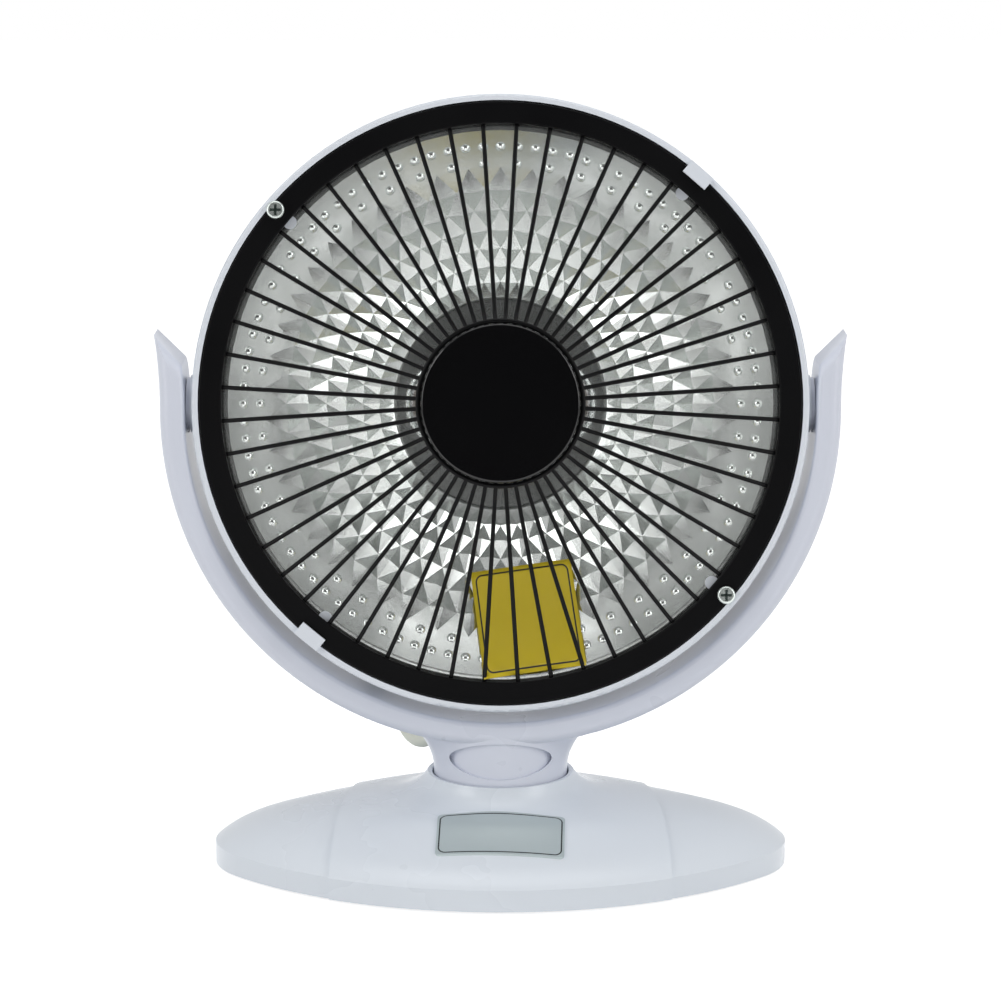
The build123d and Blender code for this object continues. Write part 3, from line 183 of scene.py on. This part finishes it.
def make_frame_line():
    """Mask of a thin rounded-rectangle line, on flat coordinates centred on a label."""
    group, entry, exit_node = new_group(
        "frame_line",
        [("Vector", "NodeSocketVector", None), ("Half Width", "NodeSocketFloat", 0.015),
         ("Half Height", "NodeSocketFloat", 0.015), ("Corner", "NodeSocketFloat", 0.002),
         ("Line", "NodeSocketFloat", 0.0003)],
        [("Mask", "NodeSocketFloat", None)])
    nodes, links = group.nodes, group.links
    parts = nodes.new("ShaderNodeSeparateXYZ")
    links.new(entry.outputs["Vector"], parts.inputs["Vector"])
    squares = []
    for axis, half in (("X", "Half Width"), ("Y", "Half Height")):
        size = nodes.new("ShaderNodeMath")
        size.operation = "ABSOLUTE"
        links.new(parts.outputs[axis], size.inputs[0])
        inner = nodes.new("ShaderNodeMath")
        inner.operation = "SUBTRACT"
        links.new(entry.outputs[half], inner.inputs[0])
        links.new(entry.outputs["Corner"], inner.inputs[1])
        past = nodes.new("ShaderNodeMath")
        past.operation = "SUBTRACT"
        links.new(size.outputs["Value"], past.inputs[0])
        links.new(inner.outputs["Value"], past.inputs[1])
        outside = nodes.new("ShaderNodeMath")
        outside.operation = "MAXIMUM"
        links.new(past.outputs["Value"], outside.inputs[0])
        outside.inputs[1].default_value = 0
        squares.append((past, outside))
    corner = nodes.new("ShaderNodeCombineXYZ")
    links.new(squares[0][1].outputs["Value"], corner.inputs["X"])
    links.new(squares[1][1].outputs["Value"], corner.inputs["Y"])
    reach = nodes.new("ShaderNodeVectorMath")
    reach.operation = "LENGTH"
    links.new(corner.outputs["Vector"], reach.inputs[0])
    inside = nodes.new("ShaderNodeMath")
    inside.operation = "MAXIMUM"
    links.new(squares[0][0].outputs["Value"], inside.inputs[0])
    links.new(squares[1][0].outputs["Value"], inside.inputs[1])
    below = nodes.new("ShaderNodeMath")
    below.operation = "MINIMUM"
    links.new(inside.outputs["Value"], below.inputs[0])
    below.inputs[1].default_value = 0
    total = nodes.new("ShaderNodeMath")
    total.operation = "ADD"
    links.new(reach.outputs["Value"], total.inputs[0])
    links.new(below.outputs["Value"], total.inputs[1])
    edge = nodes.new("ShaderNodeMath")
    edge.operation = "SUBTRACT"
    links.new(total.outputs["Value"], edge.inputs[0])
    links.new(entry.outputs["Corner"], edge.inputs[1])
    distance = nodes.new("ShaderNodeMath")
    distance.operation = "ABSOLUTE"
    links.new(edge.outputs["Value"], distance.inputs[0])
    mask = nodes.new("ShaderNodeMath")
    mask.operation = "LESS_THAN"
    links.new(distance.outputs["Value"], mask.inputs[0])
    links.new(entry.outputs["Line"], mask.inputs[1])
    links.new(mask.outputs["Value"], exit_node.inputs["Mask"])
    return group


surface_tone = make_surface_tone()
frame_line = make_frame_line()


# Finishes

def finish(name, color, rough, drift=0.03, drift_scale=25, grain_scale=1400, grain_depth=0.000015, **sockets):
    """A material whose colour, roughness and grain come from surface_tone; other values sit on the shader."""
    material = bpy.data.materials.new(name)
    material.use_nodes = True
    nodes, links = material.node_tree.nodes, material.node_tree.links
    shader = nodes["Principled BSDF"]
    tone = nodes.new("ShaderNodeGroup")
    tone.node_tree = surface_tone
    tone.inputs["Color"].default_value = (*color, 1)
    tone.inputs["Drift"].default_value = drift
    tone.inputs["Drift Scale"].default_value = drift_scale
    tone.inputs["Rough Low"].default_value = rough[0]
    tone.inputs["Rough High"].default_value = rough[1]
    tone.inputs["Grain Scale"].default_value = grain_scale
    tone.inputs["Grain Depth"].default_value = grain_depth
    links.new(tone.outputs["Color"], shader.inputs["Base Color"])
    links.new(tone.outputs["Roughness"], shader.inputs["Roughness"])
    links.new(tone.outputs["Normal"], shader.inputs["Normal"])
    for label, value in sockets.items():
        shader.inputs[label.replace("_", " ")].default_value = value
    return material


def label_finish(name, color, line_color, rough, place, turn, half, corner, line, inset, **sockets):
    """A plain label with one thin rounded frame, drawn flat on the plane that place and turn give."""
    material = finish(name, color, rough, **sockets)
    nodes, links = material.node_tree.nodes, material.node_tree.links
    shader = nodes["Principled BSDF"]
    tone = next(node for node in nodes if node.type == "GROUP")
    where = nodes.new("ShaderNodeTexCoord")
    centred = nodes.new("ShaderNodeMapping")
    centred.vector_type = "TEXTURE"
    centred.inputs["Location"].default_value = place
    centred.inputs["Rotation"].default_value = turn
    links.new(where.outputs["Object"], centred.inputs["Vector"])
    border = nodes.new("ShaderNodeGroup")
    border.node_tree = frame_line
    links.new(centred.outputs["Vector"], border.inputs["Vector"])
    border.inputs["Half Width"].default_value = half[0] - inset
    border.inputs["Half Height"].default_value = half[1] - inset
    border.inputs["Corner"].default_value = corner
    border.inputs["Line"].default_value = line / 2
    printed = nodes.new("ShaderNodeMix")
    printed.data_type = "RGBA"
    printed.inputs["B"].default_value = (*line_color, 1)
    links.new(border.outputs["Mask"], printed.inputs["Factor"])
    links.new(tone.outputs["Color"], printed.inputs["A"])
    links.new(printed.outputs["Result"], shader.inputs["Base Color"])
    return material


bowl_white = finish("bowl_white", (0.78, 0.82, 0.88), (0.24, 0.34), drift=0.02, grain_depth=0.000008, IOR=1.5)
yoke_white = finish("yoke_white", (0.72, 0.75, 0.84), (0.26, 0.36), drift=0.02, grain_depth=0.000008, IOR=1.5)
base_white = finish("base_white", (0.78, 0.83, 0.89), (0.24, 0.34), drift=0.02, grain_depth=0.000008, IOR=1.5)
bottom_grey = finish("bottom_grey", (0.40, 0.41, 0.43), (0.5, 0.62), drift=0.05, grain_depth=0.00004)
guard_black = finish("guard_black", (0.003, 0.003, 0.0035), (0.34, 0.44),
                     grain_scale=900, grain_depth=0.00002, Specular_IOR_Level=0.12)
wire_black = finish("wire_black", (0.003, 0.003, 0.0035), (0.26, 0.38),
                    grain_scale=700, grain_depth=0.00002, Specular_IOR_Level=0.14)
disc_black = finish("disc_black", (0.002, 0.002, 0.0025), (0.1, 0.16),
                    grain_depth=0.000004, Specular_IOR_Level=0.5)
pressed_aluminium = finish("pressed_aluminium", (0.80, 0.83, 0.81), (0.17, 0.25), drift=0.05, drift_scale=90,
                           grain_scale=420, grain_depth=0.00002, Metallic=0.92)
bright_zinc = finish("bright_zinc", (0.74, 0.80, 0.77), (0.2, 0.35),
                     drift=0.25, drift_scale=900, Metallic=0.8)
# Painted shade: a dark copy of the screws' zinc, for the shaded floors of their cross slots
slot_shade_zinc = finish("slot_shade_zinc", (0.10, 0.13, 0.12), (0.3, 0.5), drift=0.3, drift_scale=900, Metallic=0.8)
plain_steel = finish("plain_steel", (0.52, 0.52, 0.53), (0.3, 0.45), drift=0.1, drift_scale=200, Metallic=1.0)
heater_wire = finish("heater_wire", (0.25, 0.22, 0.20), (0.4, 0.55),
                     drift=0.3, drift_scale=1500, Metallic=1.0)
clear_quartz = finish("clear_quartz", (0.96, 0.98, 0.98), (0.0, 0.03), drift=0.0, grain_depth=0.0,
                      IOR=1.46, Transmission_Weight=1.0)
ceramic = finish("ceramic", (0.80, 0.77, 0.70), (0.6, 0.75), drift=0.08, drift_scale=120, grain_depth=0.00004)
switch_black = finish("switch_black", (0.012, 0.012, 0.012), (0.28, 0.4), grain_depth=0.00002)
nylon = finish("nylon", (0.74, 0.73, 0.67), (0.4, 0.5), drift=0.04, Subsurface_Weight=0.1)
dark_rubber = finish("dark_rubber", (0.02, 0.02, 0.02), (0.6, 0.75), drift=0.2, drift_scale=80)
cast_plate = finish("cast_plate", (0.09, 0.09, 0.095), (0.6, 0.8),
                    drift=0.3, drift_scale=150, grain_scale=500, grain_depth=0.0001, Metallic=1.0)
lead_cream = finish("lead_cream", (0.80, 0.82, 0.72), (0.4, 0.5), drift=0.05, drift_scale=60)
plate_silver = label_finish(
    "plate_silver", (0.54, 0.61, 0.62), (0.03, 0.035, 0.035), (0.32, 0.42),
    place=(0, -0.037, 0), turn=(0, 0, radians(-2)), half=(0.01975, 0.009), corner=0.0022, line=0.00045,
    inset=0.0009, drift=0.08, drift_scale=60, Metallic=0.35)
sticker_yellow = label_finish(
    "sticker_yellow", (0.68, 0.52, 0.012), (0.015, 0.015, 0.012), (0.3, 0.42),
    place=head_point(*sticker_centre, 0),
    turn=(head_frame @ Matrix.Rotation(sticker_turn, 4, "Z")).to_euler(),
    half=(sticker_size[0] / 2, sticker_size[1] / 2), corner=0.002, line=0.0005, inset=0.0014,
    drift=0.05, drift_scale=40)

node_finishes = {
    "head_shell": bowl_white, "back_cover": bowl_white, "hood_grommet": bowl_white,
    "yoke_front": yoke_white, "yoke_rear": yoke_white, "neck_grommet": yoke_white,
    "base_top": base_white, "base_bottom": bottom_grey, "cable_clamp": bottom_grey,
    "guard_ring": guard_black, "guard_wires": wire_black, "guard_disc": disc_black, "disc_clamp": guard_black,
    "reflector": pressed_aluminium, "quartz_tube": clear_quartz, "heating_filament": heater_wire,
    "tube_caps": ceramic, "element_holder": ceramic, "element_bracket": plain_steel,
    "pivot_pins": plain_steel, "swivel_nut": plain_steel,
    "disc_nut": bright_zinc, "guard_screws": bright_zinc, "element_screws": bright_zinc,
    "cover_screws": bright_zinc, "yoke_screws": bright_zinc, "base_screws": bright_zinc,
    "ballast_screws": bright_zinc, "ballast_plate": cast_plate,
    "thermal_cutout": switch_black, "switch_body": switch_black, "switch_rocker": switch_black,
    "tip_switch": switch_black, "terminal_block": nylon, "tip_plunger": nylon,
    "friction_washers": yoke_white, "swivel_washer": nylon,
    "rubber_feet": dark_rubber, "inlet_bush": dark_rubber, "head_lead": lead_cream,
    "rating_plate": plate_silver, "dish_sticker": sticker_yellow,
}
for node, material in node_finishes.items():
    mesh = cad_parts[node].data
    mesh.materials.clear()
    mesh.materials.append(material)


# New pieces

def new_piece(name, shape, body, material, place=None):
    """Turns a finished bmesh, moved to its place, into a named piece that rides on a body."""
    if place is not None:
        shape.transform(place)
    mesh = bpy.data.meshes.new(name)
    shape.to_mesh(mesh)
    shape.free()
    mesh.materials.append(material)
    piece = bpy.data.objects.new(name, mesh)
    bpy.context.scene.collection.objects.link(piece)
    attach(piece, body)
    return piece


def dish_level(radius):
    """Height of the dish's front face over a radius, on the arc between its flat and its mouth."""
    run = dish_mouth_radius - dish_flat_radius
    climb = dish_mouth_level - dish_flat_level
    chord = sqrt(run**2 + climb**2)
    bend = (chord**2 / 4 + dish_bow**2) / (2 * dish_bow)
    middle_radius = (dish_mouth_radius + dish_flat_radius) / 2 - climb / chord * (bend - dish_bow)
    middle_level = (dish_mouth_level + dish_flat_level) / 2 + run / chord * (bend - dish_bow)
    return middle_level - sqrt(bend**2 - (radius - middle_radius)**2)


def dish_point(radius, turn):
    """A point on the dish's front face."""
    return Vector((radius * cos(turn), radius * sin(turn), dish_level(radius)))


def diamond_corner(ring, turn):
    """A corner of the diamonds: on the dish in the outermost and innermost rings, else a little behind it."""
    place = dish_point(diamond_rings[ring], turn)
    if 0 < ring < len(diamond_rings) - 1:
        place.z -= diamond_sink
    return place


pitch = 2 * pi / diamonds


def spin_copies(shape, copies):
    """Repeats everything in a bmesh round the dish's axis."""
    bmesh.ops.spin(shape, geom=shape.verts[:] + shape.edges[:] + shape.faces[:], steps=copies - 1,
                   angle=2 * pi * (copies - 1) / copies, cent=(0, 0, 0), axis=(0, 0, 1), use_duplicate=True)


def pour_into(target, source):
    """Adds all of the source bmesh to the target and frees the source."""
    carried = bpy.data.meshes.new("carried")
    source.to_mesh(carried)
    source.free()
    target.from_mesh(carried)
    bpy.data.meshes.remove(carried)


# Dish: one pitch of diamonds, copied round, each then raised to a four-sided point
dish = bmesh.new()
for row in range(1, len(diamond_rings) - 1):
    middle = pitch / 2 if row % 2 == 0 else 0
    corners = [dish.verts.new(diamond_corner(row - 1, middle)),
               dish.verts.new(diamond_corner(row, middle + pitch / 2)),
               dish.verts.new(diamond_corner(row + 1, middle)),
               dish.verts.new(diamond_corner(row, middle - pitch / 2))]
    dish.faces.new(corners)
bmesh.ops.recalc_face_normals(dish, faces=dish.faces[:])
for face in dish.faces:
    if face.normal.z < 0:
        face.normal_flip()
spin_copies(dish, diamonds)
bmesh.ops.remove_doubles(dish, verts=dish.verts[:], dist=weld_distance)
bmesh.ops.poke(dish, faces=dish.faces[:], offset=diamond_rise, center_mode="MEAN")

# The plain collars inside and outside the diamonds
collar_steps = 2 * diamonds
inner_radii = [0, dish_flat_radius * 0.98, dish_flat_radius, diamond_rings[0]]
outer_radii = [diamond_rings[-1] + (dish_mouth_radius - diamond_rings[-1]) * share for share in
               (0, 0.2, 0.4, 0.6, 0.8, 1)]
collars = bmesh.new()
for radii in (inner_radii, outer_radii):
    levels = [dish_flat_level if radius <= dish_flat_radius else dish_level(radius) for radius in radii]
    line = [collars.verts.new((radius, 0, level)) for radius, level in zip(radii, levels)]
    if radii is outer_radii:
        line.append(collars.verts.new((dish_flange_radius, 0, dish_mouth_level)))
    edges = [collars.edges.new(pair) for pair in zip(line, line[1:])]
    bmesh.ops.spin(collars, geom=line + edges, steps=collar_steps, angle=2 * pi, use_merge=True,
                   cent=(0, 0, 0), axis=(0, 0, 1))
bmesh.ops.remove_doubles(collars, verts=collars.verts[:], dist=weld_distance)
teeth = bmesh.new()
last_ring = len(diamond_rings) - 1
for edge_ring, tip_ring, start in ((0, 1, 0), (last_ring, last_ring - 1, pitch / 2)):
    places = ((edge_ring, start), (tip_ring, start + pitch / 2), (edge_ring, start + pitch),
              (edge_ring, start + pitch / 2))
    teeth.faces.new([teeth.verts.new(diamond_corner(*place)) for place in places])
spin_copies(teeth, diamonds)
pour_into(dish, collars)
pour_into(dish, teeth)
bmesh.ops.remove_doubles(dish, verts=dish.verts[:], dist=weld_distance)
bmesh.ops.recalc_face_normals(dish, faces=dish.faces[:])
if sum(face.normal.z for face in dish.faces) < 0:
    bmesh.ops.reverse_faces(dish, faces=dish.faces[:])
for face in dish.faces:
    distances = [vert.co.xy.length for vert in face.verts]
    in_centre = max(distances) < diamond_rings[0] + same_radius
    face.smooth = in_centre or min(distances) > diamond_rings[-1] - same_radius
for edge in dish.edges:
    at_mouth = all(abs(vert.co.xy.length - dish_mouth_radius) < same_radius for vert in edge.verts)
    if at_mouth or not all(face.smooth for face in edge.link_faces):
        edge.smooth = False
pressed_dish = new_piece("pressed_dish", dish, "head", pressed_aluminium, head_frame)
thickness = pressed_dish.modifiers.new("sheet", "SOLIDIFY")
thickness.thickness = sheet_thickness
thickness.offset = -1
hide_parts("reflector")

# Two rings of round dimples pressed outside the diamonds
dimples = bmesh.new()
for radius, copies in ((inner_dimple_radius, diamonds), (outer_dimple_radius, 2 * diamonds)):
    dome = bmesh.new()
    bmesh.ops.create_uvsphere(dome, u_segments=14, v_segments=8, radius=dimple_size)
    bmesh.ops.bisect_plane(dome, geom=dome.verts[:] + dome.edges[:] + dome.faces[:], plane_co=(0, 0, 0),
                           plane_no=(0, 0, -1), clear_outer=True)
    slope = (dish_level(radius + slope_step) - dish_level(radius - slope_step)) / (2 * slope_step)
    lean = Matrix.Rotation(-(pi / 2 - Vector((slope, 1)).angle(Vector((1, 0)))), 4, "Y")
    place = Matrix.Translation((radius, 0, dish_level(radius))) @ lean @ Matrix.Diagonal(
        (1, 1, dimple_rise / dimple_size, 1))
    bmesh.ops.transform(dome, matrix=place, verts=dome.verts[:])
    spin_copies(dome, copies)
    pour_into(dimples, dome)
for face in dimples.faces:
    face.smooth = True
new_piece("dish_dimples", dimples, "head", pressed_aluminium, head_frame)

# Bosses of the bowl that show in the rim notches of the dish
notches = bmesh.new()
for angle in station_angles:
    outwards = Matrix.Translation((rim_notch_circle, 0, dish_mouth_level))
    bmesh.ops.create_cone(notches, cap_ends=True, segments=24, radius1=rim_notch_radius,
                          radius2=rim_notch_radius, depth=rim_notch_height,
                          matrix=Matrix.Rotation(radians(angle), 4, "Z") @ outwards)
new_piece("rim_notches", notches, "head", bowl_white, head_frame)

# Painted shade in the cross slots of the two guard screws: thin bars of a dark copy of the zinc lie on the
# slot floors, where shade falls
slot_shade_bars = bmesh.new()
for angle in guard_screw_angles:
    outwards = Matrix.Translation((guard_screw_circle, 0, screw_floor_level))
    upright = Matrix.Rotation(radians(angle), 4, "Z") @ outwards @ Matrix.Rotation(radians(-angle), 4, "Z")
    for length, width in ((screw_slot_length, screw_slot_width), (screw_slot_width, screw_slot_length)):
        bar = Matrix.Diagonal((length, width, screw_floor_thickness, 1))
        bmesh.ops.create_cube(slot_shade_bars, size=1, matrix=upright @ bar)
new_piece("screw_slot_shades", slot_shade_bars, "head", slot_shade_zinc, head_frame)

# Sticker: a thin straight-edged sheet that lies over the diamonds
sheet = bmesh.new()
bmesh.ops.create_grid(sheet, x_segments=sticker_steps, y_segments=sticker_steps, size=0.5)
turned = Matrix.Rotation(sticker_turn, 4, "Z") @ Matrix.Diagonal((*sticker_size, 1, 1))
bmesh.ops.transform(sheet, matrix=Matrix.Translation((*sticker_centre, 0)) @ turned, verts=sheet.verts[:])
for vertex in sheet.verts:
    vertex.co.z = dish_level(vertex.co.xy.length) + sticker_rise
for face in sheet.faces:
    face.smooth = True
dish_label = new_piece("dish_label", sheet, "head", sticker_yellow, head_frame)
film = dish_label.modifiers.new("film", "SOLIDIFY")
film.thickness = film_thickness
film.offset = -1
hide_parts("dish_sticker")

# Lead from the neck to the hood, on the route that its solid follows
exit_way = Vector((cos(lead_exit_angle), sin(lead_exit_angle), 0))
neck_exit = exit_way * neck_radius + Vector((0, 0, lead_exit_height))
lead_route = [head_point(hood_x, y, lead_level) for y in hood_lead_ends]
lead_route += [Vector(place) for place in lead_middle_points]
lead_route += [neck_exit + exit_way * lead_straight, neck_exit - exit_way * lead_tail]
route_curve = bpy.data.curves.new("lead_route", "CURVE")
route_curve.dimensions = "3D"
spline = route_curve.splines.new("NURBS")
spline.points.add(len(lead_route) - 1)
for point, place in zip(spline.points, lead_route):
    point.co = (*place, 1)
spline.order_u = 3
spline.use_endpoint_u = True
spline.resolution_u = 12
route_object = bpy.data.objects.new("lead_route", route_curve)
bpy.context.scene.collection.objects.link(route_object)
bpy.context.view_layer.update()
followed = bpy.data.meshes.new_from_object(route_object)
bpy.data.meshes.remove(followed)
route_curve.bevel_depth = lead_diameter / 2
route_curve.bevel_resolution = 6
route_curve.use_fill_caps = True
bpy.context.view_layer.update()
lead_mesh = bpy.data.meshes.new_from_object(route_object)
bpy.data.objects.remove(route_object)
lead_mesh.name = "flexible_lead"
lead_mesh.materials.clear()
lead_mesh.materials.append(lead_cream)
for polygon in lead_mesh.polygons:
    polygon.use_smooth = True
flexible_lead = bpy.data.objects.new("flexible_lead", lead_mesh)
bpy.context.scene.collection.objects.link(flexible_lead)
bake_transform(flexible_lead)
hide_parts("head_lead")


# Studio

def any_ray(nodes, links, kinds):
    """A socket that is 1 on rays of any of the given kinds."""
    path = nodes.new("ShaderNodeLightPath")
    value = path.outputs[kinds[0]]
    for kind in kinds[1:]:
        either = nodes.new("ShaderNodeMath")
        either.operation = "MAXIMUM"
        links.new(value, either.inputs[0])
        links.new(path.outputs[kind], either.inputs[1])
        value = either.outputs["Value"]
    return value


# Floor: white where the camera, mirrors and glass see it, and it keeps the object's shadow
floor_shape = bmesh.new()
bmesh.ops.create_grid(floor_shape, x_segments=1, y_segments=1, size=floor_half_size)
floor_mesh = bpy.data.meshes.new("floor")
floor_shape.to_mesh(floor_mesh)
floor_shape.free()
floor = bpy.data.objects.new("floor", floor_mesh)
bpy.context.scene.collection.objects.link(floor)
floor_white = bpy.data.materials.new("floor_white")
floor_white.use_nodes = True
nodes, links = floor_white.node_tree.nodes, floor_white.node_tree.links
nodes["Principled BSDF"].inputs["Base Color"].default_value = (0.8, 0.8, 0.8, 1)
nodes["Principled BSDF"].inputs["Roughness"].default_value = 0.9
nodes["Principled BSDF"].inputs["Specular IOR Level"].default_value = 0.0
glow = nodes.new("ShaderNodeMath")
glow.operation = "MULTIPLY"
links.new(any_ray(nodes, links, ("Is Camera Ray", "Is Glossy Ray", "Is Transmission Ray")), glow.inputs[0])
glow.inputs[1].default_value = 0.8
nodes["Principled BSDF"].inputs["Emission Color"].default_value = (1, 1, 1, 1)
links.new(glow.outputs["Value"], nodes["Principled BSDF"].inputs["Emission Strength"])
floor_mesh.materials.append(floor_white)

# World: white to the camera, darker behind the camera in mirrors, so that the flat black parts stay black
world = bpy.data.worlds.new("studio")
bpy.context.scene.world = world
world.use_nodes = True
nodes, links = world.node_tree.nodes, world.node_tree.links
background = nodes["Background"]
where = nodes.new("ShaderNodeTexCoord")
heading = nodes.new("ShaderNodeSeparateXYZ")
links.new(where.outputs["Generated"], heading.inputs["Vector"])
behind = nodes.new("ShaderNodeMapRange")
behind.interpolation_type = "SMOOTHSTEP"
behind.inputs["From Min"].default_value = -0.95
behind.inputs["From Max"].default_value = -0.15
behind.inputs["To Min"].default_value = 0.05
behind.inputs["To Max"].default_value = 0.9
links.new(heading.outputs["Y"], behind.inputs["Value"])
mirrored = nodes.new("ShaderNodeMix")
mirrored.data_type = "FLOAT"
mirrored.inputs["A"].default_value = 0.42
links.new(any_ray(nodes, links, ("Is Glossy Ray", "Is Transmission Ray")), mirrored.inputs["Factor"])
links.new(behind.outputs["Result"], mirrored.inputs["B"])
shown = nodes.new("ShaderNodeMix")
shown.data_type = "FLOAT"
shown.inputs["B"].default_value = 1.0
links.new(any_ray(nodes, links, ("Is Camera Ray",)), shown.inputs["Factor"])
links.new(mirrored.outputs["Result"], shown.inputs["A"])
links.new(shown.outputs["Result"], background.inputs["Strength"])
background.inputs["Color"].default_value = (1, 1, 1, 1)


def soft_lamp(name, place, target, width, height, power):
    """A rectangular soft box that faces a point."""
    lamp = bpy.data.lights.new(name, "AREA")
    lamp.shape = "RECTANGLE"
    lamp.size = width
    lamp.size_y = height
    lamp.energy = power
    holder = bpy.data.objects.new(name, lamp)
    bpy.context.scene.collection.objects.link(holder)
    holder.location = place
    holder.rotation_euler = (Vector(target) - Vector(place)).to_track_quat("-Z", "Y").to_euler()


for name, side in (("left_box", -1), ("right_box", 1)):
    soft_lamp(name, (side * 1.3, -0.9, 0.75), lamp_target, 0.7, 1.1, side_lamp_power)
soft_lamp("top_box", (0, -0.1, 1.6), (0, 0, 0.1), 1.4, 1.0, top_lamp_power)

camera_data = bpy.data.cameras.new("camera")
camera_data.lens = 129.4
camera_data.sensor_width = 36
camera = bpy.data.objects.new("camera", camera_data)
bpy.context.scene.collection.objects.link(camera)
camera.location = camera_place
camera.rotation_euler = Vector(camera_direction).to_track_quat("-Z", "Y").to_euler()
bpy.context.scene.camera = camera
bpy.context.scene.view_settings.view_transform = "Standard"
